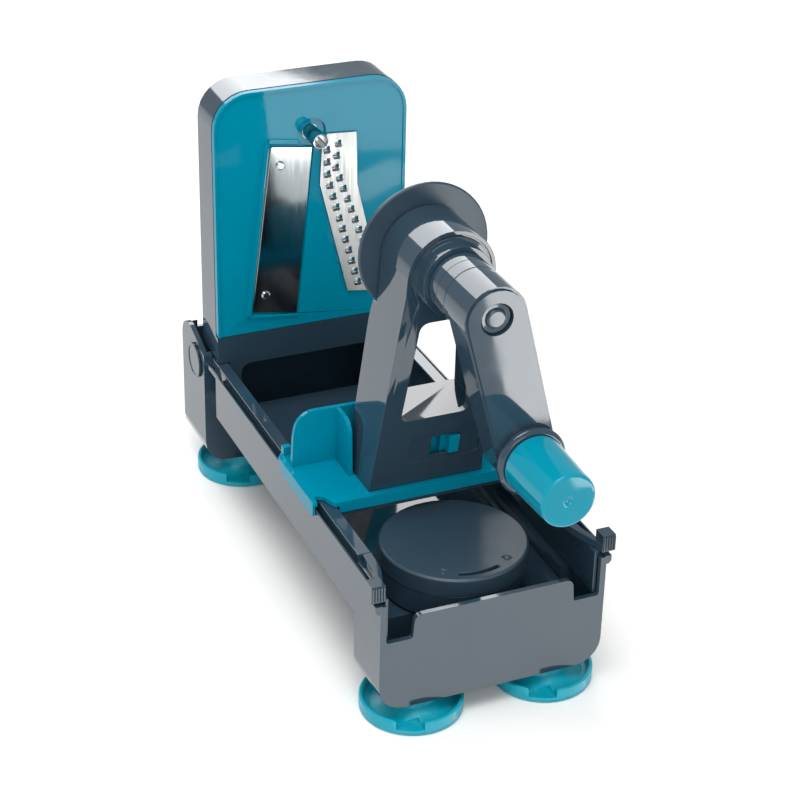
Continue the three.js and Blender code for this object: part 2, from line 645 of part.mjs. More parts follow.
function makeToothedStrip() {
  const back = PLATE_FRONT - GAP;
  const front = back - BLADE_THICKNESS;
  let strip = prismAlong(STRIP_CORNERS, front, back);
  toothPlaces().forEach(([x, z]) => {
    const hole = box(x - TOOTH_HALF, x + TOOTH_HALF, front - 1, back + 1, z, z + TOOTH_GAP);
    const tooth = prismAcross([
      [front + 0.5, z - 2.2], [front + 0.5, z - 0.2], [front - TOOTH_RISE, z + 0.4],
      [front - 0.6 * TOOTH_RISE, z - 0.8],
    ], x - TOOTH_HALF + 0.1, x + TOOTH_HALF - 0.1);
    strip = strip.subtract(hole).add(tooth);
  });
  addPiece('toothed_strip', strip, STEEL);
}

function makeCoringTube() {
  const rear = PLATE_FRONT + PLATE_THICKNESS + 6;
  addPiece('coring_tube', ring(TUBE_RADIUS - 0.7, TUBE_RADIUS, TUBE_TIP, rear, 0, TUBE_Z, 24), STEEL);
}

// ---------- carriage ----------

function makeCarriage() {
  const plateBottom = CARRIAGE_TOP - CARRIAGE_PLATE;
  const half = [
    [0, CARRIAGE_FRONT], [52.4, CARRIAGE_FRONT, 1], [55.4, -44.2, 1], [60, -42, 1], [60.2, HOOK_FRONT],
    [HOOK_OUTER, HOOK_FRONT, 1], [HOOK_OUTER, CARRIAGE_REAR - 4], [60, CARRIAGE_REAR], [52, CARRIAGE_REAR],
    [49, -1], [0, -1],
  ];
  const plate = bothSides(prismUp(half, plateBottom, CARRIAGE_TOP, 3));
  const lipHalf = LIP_HALF_WIDTH;
  const lipOutside = box(-lipHalf, lipHalf, CARRIAGE_FRONT, -1, LIP_BOTTOM, plateBottom + 0.5);
  const lipInside = box(-lipHalf + 2, lipHalf - 2, CARRIAGE_FRONT + 2, -3, LIP_BOTTOM - 1, plateBottom);
  const hook = prismAcross([
    [HOOK_FRONT, HOOK_BOTTOM, 1], [CARRIAGE_REAR - 9, HOOK_BOTTOM, 4], [CARRIAGE_REAR - 4, plateBottom + 1],
    [HOOK_FRONT, plateBottom + 1],
  ], TRAY_HALF_WIDTH + GAP + 0.1, HOOK_OUTER, 3);
  const wing = prismAlong([
    [21, plateBottom], [60.2, plateBottom], [59.4, 102, 6], [57, WING_TOP, 11], [21, WING_TOP - 0.6, 2],
  ], WING_FRONT, WING_FRONT + WING_THICKNESS, 6);
  const fin = prismAcross([
    [WING_FRONT + 1, plateBottom], [FIN_FRONT, plateBottom], [FIN_FRONT + 1.5, WING_TOP - 0.6, 8],
    [WING_FRONT + 1, WING_TOP - 0.6],
  ], 33.4, 35.6, 5);
  const lug = box(55.6, 60, 1, 4.6, plateBottom, CARRIAGE_TOP + 5);
  const tongue = joined([
    box(-1.2, 1.2, -45.5, -27, plateBottom, TONGUE_TOP), box(-12, 12, -45.5, -43.1, plateBottom, TONGUE_TOP),
    box(-12, 12, -29.4, -27, plateBottom, TONGUE_TOP - 9),
  ]);
  const screwPosts = KEEPER_SCREWS.map(([x, y]) => upright(4, LIP_BOTTOM, plateBottom + 0.5, x, y));
  const sides = bothSides(joined([hook, wing, fin, lug]));
  let body = joined([plate, lipOutside.subtract(lipInside), sides, tongue, ...screwPosts]);
  KEEPER_SCREWS.forEach(([x, y]) => {
    body = body.subtract(upright(SCREW_HOLE, LIP_BOTTOM - 1, plateBottom + 1, x, y));
  });
  addPiece('carriage', body, TEAL);
}

// The plate screwed under the carriage, which runs below the rail flanges and holds it down.
function makeKeeper() {
  const top = LIP_BOTTOM - GAP;
  const bottom = top - KEEPER_THICKNESS;
  const reach = RAIL_LEG_INNER - 0.6;
  let keeper = prismUp([
    [-reach, CARRIAGE_FRONT + 1.2, 3], [reach, CARRIAGE_FRONT + 1.2, 3], [reach, -6, 3], [-reach, -6, 3],
  ], bottom, top, 3);
  const middle = [[-26, -38, 4], [26, -38, 4], [26, -18, 4], [-26, -18, 4]];
  keeper = keeper.subtract(prismUp(middle, bottom - 1, top + 1, 3));
  KEEPER_SCREWS.forEach(([x, y], i) => {
    keeper = keeper.subtract(upright(SCREW_HOLE, bottom - 1, top + 1, x, y));
    const head = bottom - GAP;
    addPiece(`keeper_screw_${i + 1}`, turnedUp([
      [0, head - 1.6], [2.2, head - 1.6], [3, head - 0.8], [3, head], [1.5, head],
      [1.5, top + 3.6], [0, top + 3.6],
    ], x, y, 16), STEEL);
  });
  addPiece('slide_keeper', keeper, SLATE);
}

// ---------- tower ----------

// Y of the tower's leaning front face at a height.
function frontFaceY(z) {
  const share = (z - TOWER_BASE) / (LEAN_TOP_Z - TOWER_BASE);
  return TOWER_BASE_FRONT + share * (HEAD_FRONT - TOWER_BASE_FRONT);
}

// The tower's front view: straight sides that run up to a round head.
function towerFront(inset) {
  const radius = HEAD_RADIUS - inset;
  const baseHalf = TOWER_BASE_HALF_WIDTH - inset;
  const lift = Math.asin((baseHalf - radius) / (CRANK_Z - TOWER_BASE));
  const points = [[-baseHalf, TOWER_BASE - inset], [baseHalf, TOWER_BASE - inset]];
  const steps = 20;
  for (let i = 0; i <= steps; i += 1) {
    const angle = lift + ((Math.PI - 2 * lift) * i) / steps;
    points.push([radius * Math.cos(angle), CRANK_Z + radius * Math.sin(angle)]);
  }
  return points;
}

function towerSide(inset) {
  const base = TOWER_BASE - inset;
  return [
    [TOWER_BASE_FRONT + inset, base], [TOWER_BASE_REAR - inset, base], [-22.4 - inset, 118, 30],
    [-30.8, 177, 60], [HEAD_REAR, 200], [HEAD_REAR, FAR], [HEAD_FRONT, FAR], [HEAD_FRONT, LEAN_TOP_Z],
  ];
}

// A slab that follows the leaning front face, from one depth behind it to another.
function leaningSlab(z0, z1, near, far) {
  return [[frontFaceY(z0) + near, z0], [frontFaceY(z0) + far, z0], [frontFaceY(z1) + far, z1],
    [frontFaceY(z1) + near, z1]];
}

// A cut with rounded corners, square to the front, kept to a depth behind the leaning face.
function leaningCut(x0, x1, z0, z1, depth, corner) {
  const shape = [[x0, z0, corner], [x1, z0, corner], [x1, z1, corner], [x0, z1, corner]];
  const slab = prismAcross(leaningSlab(z0 - 1, z1 + 1, -4, depth), -FAR, FAR);
  return prismAlong(shape, -FAR, FAR, 4).intersect(slab);
}

function makeTower() {
  const inner = prismAlong(towerFront(TOWER_WALL), -FAR, FAR);
  const whole = prismAlong(towerFront(0), -FAR, FAR).intersect(prismAcross(towerSide(0), -FAR, FAR, 4));
  const window = prismAlong([
    [-18.8, SILL_TOP, 4], [18.8, SILL_TOP, 4], [14, WINDOW_TOP, 5], [-14, WINDOW_TOP, 5],
  ], -FAR, FAR, 4);
  const behindWindow = inner.intersect(
    prismAcross(leaningSlab(SILL_TOP, WINDOW_TOP, WINDOW_FRAME, FAR), -FAR, FAR));
  const lowerHollow = inner.intersect(prismAcross(towerSide(TOWER_WALL), -FAR, FAR, 4))
    .intersect(box(-FAR, FAR, -FAR, FAR, 0, SILL_TOP - TOWER_WALL));
  const boss = rod(BOSS_RADIUS, BOSS_FRONT, HEAD_FRONT + 1, 0, CRANK_Z, 40);
  const faceGroove = ring(HEAD_RADIUS - 3, HEAD_RADIUS - 2, HEAD_FRONT - 1, HEAD_FRONT + 0.8, 0, CRANK_Z, 40);
  const bore = rod(BUSH_RADIUS + GAP, -FAR, FAR, 0, CRANK_Z, 32);
  const latchRecess = leaningCut(-11.5, 28, LATCH_BOTTOM, LATCH_TOP, 1, 3);
  const latchSlot = leaningCut(0.6, 16.2, LATCH_BOTTOM + 2.2, LATCH_TOP - 2, 8, 0);
  const discRelief = rod(DISC_RADIUS + 0.8, HEAD_REAR, FAR, 0, CRANK_Z, 56);
  let tower = whole.subtract(faceGroove).add(boss);
  [discRelief, window, behindWindow, lowerHollow, bore, latchRecess, latchSlot].forEach((tool) => {
    tower = tower.subtract(tool);
  });
  addPiece('tower', tower, SLATE);
}

// The sliding latch behind the slot, with its push button standing out.
function makeLatch() {
  const z0 = LATCH_BOTTOM + 2.6;
  const z1 = LATCH_TOP - 2.4;
  const inside = 3.4;
  const button = prismAcross(leaningSlab(z0, z1, -1.6, inside + 0.5), 10, 15.6);
  const slide = prismAcross(leaningSlab(z0 - 4, z1 + 4, inside, inside + 2), 7, 21);
  addPiece('tower_latch', button.add(slide), TEAL);
}

// ---------- crank ----------

function makeBushes() {
  const length = 10;
  const front = BOSS_FRONT - GAP;
  const rear = HEAD_REAR + GAP;
  const frontBush = ring(BUSH_BORE, BUSH_RADIUS, front, front + length, 0, CRANK_Z);
  const rearBush = ring(BUSH_BORE, BUSH_RADIUS, rear - length, rear, 0, CRANK_Z);
  addPiece('front_bush', frontBush, BUSH_WHITE);
  addPiece('rear_bush', rearBush, BUSH_WHITE);
}

function makeShaft() {
  const front = SHAFT_FRONT;
  const shaft = rod(SHAFT_RADIUS, front, SHAFT_REAR, 0, CRANK_Z);
  const tapped = rod(1.9, front - 1, front + 10, 0, CRANK_Z, 16);
  addPiece('crank_shaft', shaft.subtract(tapped), STEEL);
  const head = front - GAP;
  addPiece('shaft_screw', turnedAlong([
    [0, head - 2.4], [3.4, head - 2.4], [4.6, head - 1.4], [4.6, head], [1.6, head],
    [1.6, head + 9], [0, head + 9],
  ], 0, CRANK_Z, 20), STEEL);
}

function makeDisc() {
  const bore = SHAFT_RADIUS + GAP;
  const disc = turnedAlong([
    [bore, DISC_FRONT], [12, DISC_FRONT], [20, DISC_FRONT + 0.3], [28, DISC_FRONT + 0.3],
    [DISC_RADIUS - 0.8, DISC_FRONT - 0.2], [DISC_RADIUS, DISC_FRONT + 0.3], [DISC_RADIUS, DISC_FRONT + 1.2],
    [DISC_RADIUS - 0.8, DISC_FRONT + 1.6], [28, DISC_REAR - 0.4], [20, DISC_REAR - 0.3], [11, DISC_REAR],
    [9.5, DISC_REAR + 2.6], [bore, DISC_REAR + 2.6], [bore, DISC_FRONT],
  ], 0, CRANK_Z, 56);
  const prongs = [];
  const rows = [{ radius: 15, count: 6, turn: 0 }, { radius: 26, count: 8, turn: 22.5 }];
  rows.forEach(({ radius, count, turn }) => {
    for (let i = 0; i < count; i += 1) {
      const angle = THREE.MathUtils.degToRad(turn + (360 * i) / count);
      const prong = new THREE.CylinderGeometry(0.25, 2.2, 10.6, 6).scale(1, 1, 0.6);
      prong.translate(radius, DISC_REAR - 0.6 + 5.3, 0).rotateY(angle).translate(0, 0, CRANK_Z);
      prongs.push(solid(prong));
    }
  });
  addPiece('food_disc', joined([disc, ...prongs]), SLATE);
}

function makeSleeve() {
  const sleeve = ring(SHAFT_RADIUS + GAP, SLEEVE_RADIUS, SLEEVE_FRONT, SLEEVE_REAR, 0, CRANK_Z, 40);
  addPiece('crank_sleeve', sleeve, SLATE);
}

// Outline of the arm between two radii, hanging at the arm's angle.
function armOutline(headRadius, endRadius, from, to, steps) {
  const tilt = THREE.MathUtils.degToRad(ARM_ANGLE);
  const slope = Math.asin((headRadius - endRadius) / (to - from));
  const points = [];
  const addArc = (centre, radius, start, sweep) => {
    for (let i = 0; i <= steps; i += 1) {
      const angle = start + (sweep * i) / steps;
      const down = centre - radius * Math.sin(angle);
      const side = radius * Math.cos(angle);
      points.push([
        side * Math.cos(tilt) + down * Math.sin(tilt),
        CRANK_Z + side * Math.sin(tilt) - down * Math.cos(tilt),
      ]);
    }
  };
  addArc(from, headRadius, -slope, Math.PI + 2 * slope);
  addArc(to, endRadius, Math.PI + slope, Math.PI - 2 * slope);
  return points;
}

function knobPlace() {
  const tilt = THREE.MathUtils.degToRad(ARM_ANGLE);
  return [ARM_LENGTH * Math.sin(tilt), CRANK_Z - ARM_LENGTH * Math.cos(tilt)];
}

function makeArm() {
  const [knobX, knobZ] = knobPlace();
  const plate = prismAlong(
    armOutline(ARM_HEAD_RADIUS, ARM_END_RADIUS, 0, ARM_LENGTH, 12), ARM_FRONT + ARM_EDGE, ARM_REAR);
  const face = prismAlong(
    armOutline(ARM_HEAD_RADIUS - ARM_EDGE, ARM_END_RADIUS - ARM_EDGE, 0, ARM_LENGTH, 12),
    ARM_FRONT, ARM_FRONT + ARM_EDGE + 0.5);
  const hub = rod(ARM_HEAD_RADIUS - 0.2, ARM_REAR - 1, ARM_HUB_REAR, 0, CRANK_Z, 40);
  const hollow = prismAlong(armOutline(12.5, 12.5, 33, ARM_LENGTH - 30, 6), ARM_REAR - 17, ARM_REAR + 1);
  const bore = rod(SHAFT_RADIUS + GAP, SHAFT_FRONT, FAR, 0, CRANK_Z);
  const screwWell = rod(5.2, CAP_SEAT - 0.1, SHAFT_FRONT + 0.1, 0, CRANK_Z, 24);
  const capWell = rod(8.4, ARM_FRONT - 1, CAP_SEAT, 0, CRANK_Z, 32);
  const axleBore = rod(AXLE_RADIUS + GAP, -FAR, FAR, knobX, knobZ, 24);
  let arm = joined([plate, face, hub]);
  [hollow, bore, screwWell, capWell, axleBore].forEach((tool) => {
    arm = arm.subtract(tool);
  });
  addPiece('crank_arm', arm, SLATE);
}

function makeCrankCap() {
  const back = CAP_SEAT - GAP;
  addPiece('crank_cap', turnedAlong([
    [0, back - 2.1], [4.2, back - 2.1], [4.9, back - 1.6], [5.2, back - 0.7], [7.4, back - 0.9],
    [8, back - 0.4], [8, back], [0, back],
  ], 0, CRANK_Z, 32), SLATE);
}

function makeKnob() {
  const [x, z] = knobPlace();
  const flangeBack = ARM_FRONT - GAP;
  const bore = AXLE_RADIUS + GAP;
  addPiece('knob_flange', turnedAlong([
    [bore, FLANGE_FRONT], [FLANGE_RADIUS - 1.6, FLANGE_FRONT], [FLANGE_RADIUS, FLANGE_FRONT + 1.8],
    [FLANGE_RADIUS - 0.6, flangeBack], [bore, flangeBack], [bore, FLANGE_FRONT],
  ], x, z, 40), SLATE);
  const axleRear = ARM_REAR - 0.5;
  addPiece('knob_axle', rod(AXLE_RADIUS, KNOB_END + 8, axleRear, x, z, 24), STEEL);
  const boreEnd = KNOB_END + 7;
  addPiece('knob', turnedAlong([
    [0, KNOB_END + 1.2], [1.3, KNOB_END + 0.3], [2.4, KNOB_END], [KNOB_END_RADIUS - 1.6, KNOB_END],
    [KNOB_END_RADIUS - 0.5, KNOB_END + 0.5], [KNOB_END_RADIUS, KNOB_END + 1.6],
    [KNOB_BASE_RADIUS, KNOB_BASE - 1], [KNOB_BASE_RADIUS - 0.8, KNOB_BASE], [bore, KNOB_BASE],
    [bore, boreEnd], [0, boreEnd],
  ], x, z, 40), TEAL);
}

makeTray();
makeCaps();
makeRails();
makeReleaseArms();
makeFeet();
makeCup();
makeHousing();
makePlate();
makeStraightBlade();
makeToothedStrip();
makeCoringTube();
makeCarriage();
makeKeeper();
makeTower();
makeLatch();
makeBushes();
makeShaft();
makeDisc();
makeSleeve();
makeArm();
makeCrankCap();
makeKnob();

export default slicer;
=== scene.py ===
import json
import math

import bmesh
import bpy
import numpy as np
from mathutils import Matrix, Vector


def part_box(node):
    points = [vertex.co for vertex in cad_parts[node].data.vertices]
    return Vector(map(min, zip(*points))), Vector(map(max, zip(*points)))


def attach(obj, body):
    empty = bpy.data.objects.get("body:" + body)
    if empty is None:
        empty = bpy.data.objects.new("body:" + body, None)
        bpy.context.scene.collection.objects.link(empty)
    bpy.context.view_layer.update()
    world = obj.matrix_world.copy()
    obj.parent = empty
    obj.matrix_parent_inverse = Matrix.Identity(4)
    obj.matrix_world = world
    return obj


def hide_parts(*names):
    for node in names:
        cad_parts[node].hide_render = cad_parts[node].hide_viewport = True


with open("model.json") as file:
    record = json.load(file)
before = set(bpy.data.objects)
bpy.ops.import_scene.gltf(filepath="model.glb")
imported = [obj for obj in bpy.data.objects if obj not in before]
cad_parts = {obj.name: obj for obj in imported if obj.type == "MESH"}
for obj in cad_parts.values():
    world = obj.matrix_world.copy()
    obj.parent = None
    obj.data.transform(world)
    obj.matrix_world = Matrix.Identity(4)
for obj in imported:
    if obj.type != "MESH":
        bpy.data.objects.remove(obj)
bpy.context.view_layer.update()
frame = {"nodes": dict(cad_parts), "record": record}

MM = 0.001

# Colours. Each plastic has a second colour that it drifts to in soft clouds.
SLATE = "#283b49"            # ABS of the tray, tower, crank and blade housing
SLATE_PALE = "#2e4250"
TEAL = "#00849f"             # ABS of the carriage and blade plate
TEAL_DEEP = "#007d97"
KNOB_TEAL = "#008fa6"
KNOB_DEEP = "#00879e"
SILICONE = "#0099ae"         # suction feet
SILICONE_DUST = "#8fb9bf"
BLADE_GREY = "#8f9698"
STRIP_GREY = "#a9a9a4"
BAR_GREY = "#c9cccd"         # shaft, axle, screws and rivets
GRIND_LINE = "#9da1a3"
BUSH = "#dcdcd6"             # acetal
BUSH_SHADE = "#cfcfc8"
FLOOR = "#f8f8f7"
FLOOR_SHADE = "#f1f1f0"
PANEL_BLUE = "#dfe8f4"
WHITE = "#ffffff"

# Refraction of the three plastics.
ABS_IOR = 1.54
SILICONE_IOR = 1.41
ACETAL_IOR = 1.48

# Sizes of the patterns, in millimetres.
CLOUD_MM = 45
HAZE_MM = 14
PEEL_MM = 9
DUST_MM = 6
GRAIN_MM = 0.8
GRIND_MM = 0.7
BAR_GRIND_MM = 0.5
TOOL_MARK_MM = 1.2
MOTTLE_MM = 300
GRIND_STRETCH = 0.03         # a grinding line is this much finer across than along

BODY_OF = {node: body for body, nodes in frame["record"]["behaviour"]["bodies"].items() for node in nodes}
SLOT_OF = {part["node"]: part["material_slot"] for part in frame["record"]["subparts"]}


# ---------- materials ----------

def linear(hex_colour):
    """An sRGB hex colour as linear red, green, blue and alpha."""
    values = [int(hex_colour[i:i + 2], 16) / 255 for i in (1, 3, 5)]
    return [v / 12.92 if v <= 0.04045 else ((v + 0.055) / 1.055) ** 2.4 for v in values] + [1.0]


def add(tree, kind, inputs=None, **settings):
    """Adds a node. Settings go on the node; each input is a plain value or another node's output."""
    node = tree.nodes.new(kind)
    for key, value in settings.items():
        setattr(node, key, value)
    for key, value in (inputs or {}).items():
        if isinstance(value, bpy.types.NodeSocket):
            tree.links.new(value, node.inputs[key])
        else:
            node.inputs[key].default_value = value
    return node


def start_material(name):
    """A new node material with its shader and an Object coordinate node."""
    material = bpy.data.materials.new(name)
    material.use_nodes = True
    tree = material.node_tree
    shader = tree.nodes["Principled BSDF"]
    place = add(tree, "ShaderNodeTexCoord")
    return material, tree, shader, place.outputs["Object"]


def per_mm(size_mm):
    """Noise scale that gives features of this size."""
    return 1.0 / (size_mm * MM)


def moulded_abs(name, colour, second_colour, gloss=0.03, specular=0.5, peel_depth=0.015):
    """Injection-moulded ABS from a polished tool: deep gloss, faint orange peel, slight handling haze."""
    material, tree, shader, place = start_material(name)
    clouds = add(tree, "ShaderNodeTexNoise", {"Vector": place, "Scale": per_mm(CLOUD_MM), "Detail": 3.0})
    tint = add(tree, "ShaderNodeMix", {
        "Factor": clouds.outputs["Fac"], "A": linear(colour), "B": linear(second_colour)}, data_type="RGBA")
    tree.links.new(tint.outputs["Result"], shader.inputs["Base Color"])
    haze = add(tree, "ShaderNodeTexNoise", {
        "Vector": place, "Scale": per_mm(HAZE_MM), "Detail": 5.0, "Roughness": 0.65})
    rough = add(tree, "ShaderNodeMapRange", {
        "Value": haze.outputs["Fac"], "From Min": 0.3, "From Max": 0.75,
        "To Min": gloss, "To Max": gloss + 0.06})
    tree.links.new(rough.outputs["Result"], shader.inputs["Roughness"])
    peel = add(tree, "ShaderNodeTexNoise", {"Vector": place, "Scale": per_mm(PEEL_MM), "Detail": 1.0})
    bump = add(tree, "ShaderNodeBump", {
        "Height": peel.outputs["Fac"], "Strength": peel_depth, "Distance": 0.3 * MM})
    tree.links.new(bump.outputs["Normal"], shader.inputs["Normal"])
    shader.inputs["IOR"].default_value = ABS_IOR
    shader.inputs["Specular IOR Level"].default_value = specular
    return material


def silicone_rubber(name, colour):
    """Cast silicone: soft sheen, slightly translucent, with a fine matt grain and a little dust."""
    material, tree, shader, place = start_material(name)
    dust = add(tree, "ShaderNodeTexNoise", {
        "Vector": place, "Scale": per_mm(DUST_MM), "Detail": 6.0, "Roughness": 0.7})
    grey = add(tree, "ShaderNodeMapRange", {
        "Value": dust.outputs["Fac"], "From Min": 0.5, "From Max": 0.85, "To Min": 0.0, "To Max": 0.12})
    tint = add(tree, "ShaderNodeMix", {
        "Factor": grey.outputs["Result"], "A": linear(colour), "B": linear(SILICONE_DUST)}, data_type="RGBA")
    tree.links.new(tint.outputs["Result"], shader.inputs["Base Color"])
    rough = add(tree, "ShaderNodeMapRange", {"Value": dust.outputs["Fac"], "To Min": 0.24, "To Max": 0.42})
    tree.links.new(rough.outputs["Result"], shader.inputs["Roughness"])
    grain = add(tree, "ShaderNodeTexNoise", {"Vector": place, "Scale": per_mm(GRAIN_MM), "Detail": 2.0})
    bump = add(tree, "ShaderNodeBump", {
        "Height": grain.outputs["Fac"], "Strength": 0.08, "Distance": 0.1 * MM})
    tree.links.new(bump.outputs["Normal"], shader.inputs["Normal"])
    shader.inputs["Subsurface Weight"].default_value = 0.12
    shader.inputs["Subsurface Radius"].default_value = [1 * MM, 3 * MM, 3 * MM]
    shader.inputs["IOR"].default_value = SILICONE_IOR
    return material


def ground_steel(name, colour, roughness, along, line_mm=GRIND_MM):
    """Stainless steel ground along one axis, with lines drawn wider than real ones so that they show."""
    material, tree, shader, place = start_material(name)
    stretch = [per_mm(line_mm) * (GRIND_STRETCH if axis == along else 1.0) for axis in "xyz"]
    lined = add(tree, "ShaderNodeMapping", {"Vector": place, "Scale": stretch})
    lines = add(tree, "ShaderNodeTexNoise", {"Vector": lined.outputs["Vector"], "Scale": 1.0, "Detail": 4.0})
    rough = add(tree, "ShaderNodeMapRange", {
        "Value": lines.outputs["Fac"], "From Min": 0.3, "From Max": 0.7,
        "To Min": roughness * 0.8, "To Max": roughness * 1.3})
    tree.links.new(rough.outputs["Result"], shader.inputs["Roughness"])
    tint = add(tree, "ShaderNodeMix", {
        "Factor": lines.outputs["Fac"], "A": linear(colour), "B": linear(GRIND_LINE)}, data_type="RGBA")
    tree.links.new(tint.outputs["Result"], shader.inputs["Base Color"])
    bump = add(tree, "ShaderNodeBump", {
        "Height": lines.outputs["Fac"], "Strength": 0.05, "Distance": 0.05 * MM})
    tree.links.new(bump.outputs["Normal"], shader.inputs["Normal"])
    shader.inputs["Metallic"].default_value = 1.0
    return material


def acetal(name, colour):
    """Machined acetal of the two bushes: waxy white with a fine mottle of tool marks."""
    material, tree, shader, place = start_material(name)
    marks = add(tree, "ShaderNodeTexNoise", {"Vector": place, "Scale": per_mm(TOOL_MARK_MM), "Detail": 3.0})
    tint = add(tree, "ShaderNodeMix", {
        "Factor": marks.outputs["Fac"], "A": linear(colour), "B": linear(BUSH_SHADE)}, data_type="RGBA")
    tree.links.new(tint.outputs["Result"], shader.inputs["Base Color"])
    bump = add(tree, "ShaderNodeBump", {
        "Height": marks.outputs["Fac"], "Strength": 0.1, "Distance": 0.1 * MM})
    tree.links.new(bump.outputs["Normal"], shader.inputs["Normal"])
    shader.inputs["Roughness"].default_value = 0.4
    shader.inputs["IOR"].default_value = ACETAL_IOR
    return material


def painted_floor(name, colour):
    """Matt pale studio floor with a barely visible mottle."""
    material, tree, shader, place = start_material(name)
    mottle = add(tree, "ShaderNodeTexNoise", {"Vector": place, "Scale": per_mm(MOTTLE_MM), "Detail": 2.0})
    tint = add(tree, "ShaderNodeMix", {
        "Factor": mottle.outputs["Fac"], "A": linear(colour), "B": linear(FLOOR_SHADE)}, data_type="RGBA")
    tree.links.new(tint.outputs["Result"], shader.inputs["Base Color"])
    shader.inputs["Roughness"].default_value = 0.8
    return material


SLATE_ABS = moulded_abs("slate_abs_moulded", SLATE, SLATE_PALE)
SATIN_ABS = moulded_abs("slate_abs_satin", SLATE, SLATE_PALE, gloss=0.36, peel_depth=0.05)
TEAL_ABS = moulded_abs("teal_abs_moulded", TEAL, TEAL_DEEP, specular=0.1)
KNOB_ABS = moulded_abs("knob_abs_moulded", KNOB_TEAL, KNOB_DEEP, specular=0.25)
TEAL_SILICONE = silicone_rubber("teal_silicone_cast", SILICONE)
BLADE_STEEL = ground_steel("blade_steel_ground", BLADE_GREY, 0.1, "z")
STRIP_STEEL = ground_steel("strip_steel_rolled", STRIP_GREY, 0.34, "z")
BRIGHT_STEEL = ground_steel("bar_steel_turned", BAR_GREY, 0.16, "y", BAR_GRIND_MM)
ACETAL = acetal("acetal_turned", BUSH)
MATERIAL_OF = {
    "slate_plastic": SLATE_ABS, "teal_plastic": TEAL_ABS, "teal_rubber": TEAL_SILICONE,
    "bright_steel": BRIGHT_STEEL, "bush_plastic": ACETAL,
}
# Nodes whose finish differs from the rest of their slot.
OWN_FINISH = {
    "straight_blade": BLADE_STEEL, "toothed_strip": STRIP_STEEL, "knob": KNOB_ABS,
    "cup_lid": SATIN_ABS, "food_disc": SATIN_ABS,
}


def finish_of(node):
    """The material of a node: its own finish, or else that of its slot."""
    return OWN_FINISH.get(node) or MATERIAL_OF[SLOT_OF[node]]


# ---------- shapes ----------

CAD_MERGE = 2e-6             # doubles in a copied node closer than this are one point, in metres
GRID_MERGE = 1e-6            # the same for a new surface
FLAT_ANGLE = math.radians(0.6)
EDGE_ANGLE = math.radians(30)
LATHE_EDGE_ANGLE = math.radians(40)
EDGE_SEGMENTS = 2
LATHE_SEGMENTS = 96
CORNER_STEPS = 6
GUARD = 0.05                 # millimetres


def finish_mesh(mesh, build):
    """Writes the merged mesh back and shades it smooth."""
    build.to_mesh(mesh)
    build.free()
    mesh.shade_smooth()


def add_piece(name, mesh):
    """A new object at the origin."""
    piece = bpy.data.objects.new(name, mesh)
    bpy.context.scene.collection.objects.link(piece)
    return piece


def put_on(piece, node):
    """Gives a piece its node's material, rides it on the node's body and hides the node."""
    piece.data.materials.clear()
    piece.data.materials.append(finish_of(node))
    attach(piece, BODY_OF[node])
    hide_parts(node)


def grid_piece(name, points, close_u=True):
    """A mesh from a grid of points [u, v, 3]; v runs along, and u runs round and may close on itself."""
    count_u, count_v = points.shape[:2]
    u = np.arange(count_u if close_u else count_u - 1)
    uu, vv = (a.ravel() for a in np.meshgrid(u, np.arange(count_v - 1), indexing="ij"))
    u1, v1 = (uu + 1) % count_u, vv + 1
    faces = np.stack([uu * count_v + vv, u1 * count_v + vv, u1 * count_v + v1, uu * count_v + v1], axis=1)
    mesh = bpy.data.meshes.new(name)
    mesh.from_pydata(points.reshape(-1, 3), [], faces)
    build = bmesh.new()
    build.from_mesh(mesh)
    bmesh.ops.remove_doubles(build, verts=build.verts, dist=GRID_MERGE)
    bmesh.ops.recalc_face_normals(build, faces=build.faces)
    finish_mesh(mesh, build)
    return add_piece(name, mesh)


def rounded_profile(corners):
    """The points of a profile of [radius, distance, corner size] with each corner turned into a curve.

    A corner of size c is swept as a quadratic blend from c before it to c after it, and a guard point GUARD
    beyond each end of the blend keeps the flat next to it flat when the surface is shaded smooth.
    """
    points = []
    last = len(corners) - 1
    for i, (r, h, c) in enumerate(corners):
        here = np.array([r, h])
        if c == 0 or i in (0, last):
            points.append(here)
            continue
        before = np.array(corners[i - 1][:2]) - here
        after = np.array(corners[i + 1][:2]) - here
        before, after = before / np.linalg.norm(before), after / np.linalg.norm(after)
        t = np.linspace(0, 1, CORNER_STEPS)[:, None]
        start, end = here + c * before, here + c * after
        points.append(start + GUARD * before)
        points.extend((1 - t) ** 2 * start + 2 * t * (1 - t) * here + t ** 2 * end)
        points.append(end + GUARD * after)
    return np.array(points)


def turned(name, corners, centre):
    """A profile turned about y: from the centre, x = radius cos a, y = distance and z = radius sin a."""
    profile = rounded_profile(corners) * MM
    angle = np.linspace(0, 2 * math.pi, LATHE_SEGMENTS, endpoint=False)[:, None]
    across, up = profile[None, :, 0] * np.cos(angle), profile[None, :, 0] * np.sin(angle)
    distance = np.broadcast_to(profile[None, :, 1], across.shape)
    points = np.stack([across, distance, up], axis=2) + np.array(centre)
    piece = grid_piece(name, points)
    piece.data.set_sharp_from_angle(angle=LATHE_EDGE_ANGLE)
    return piece


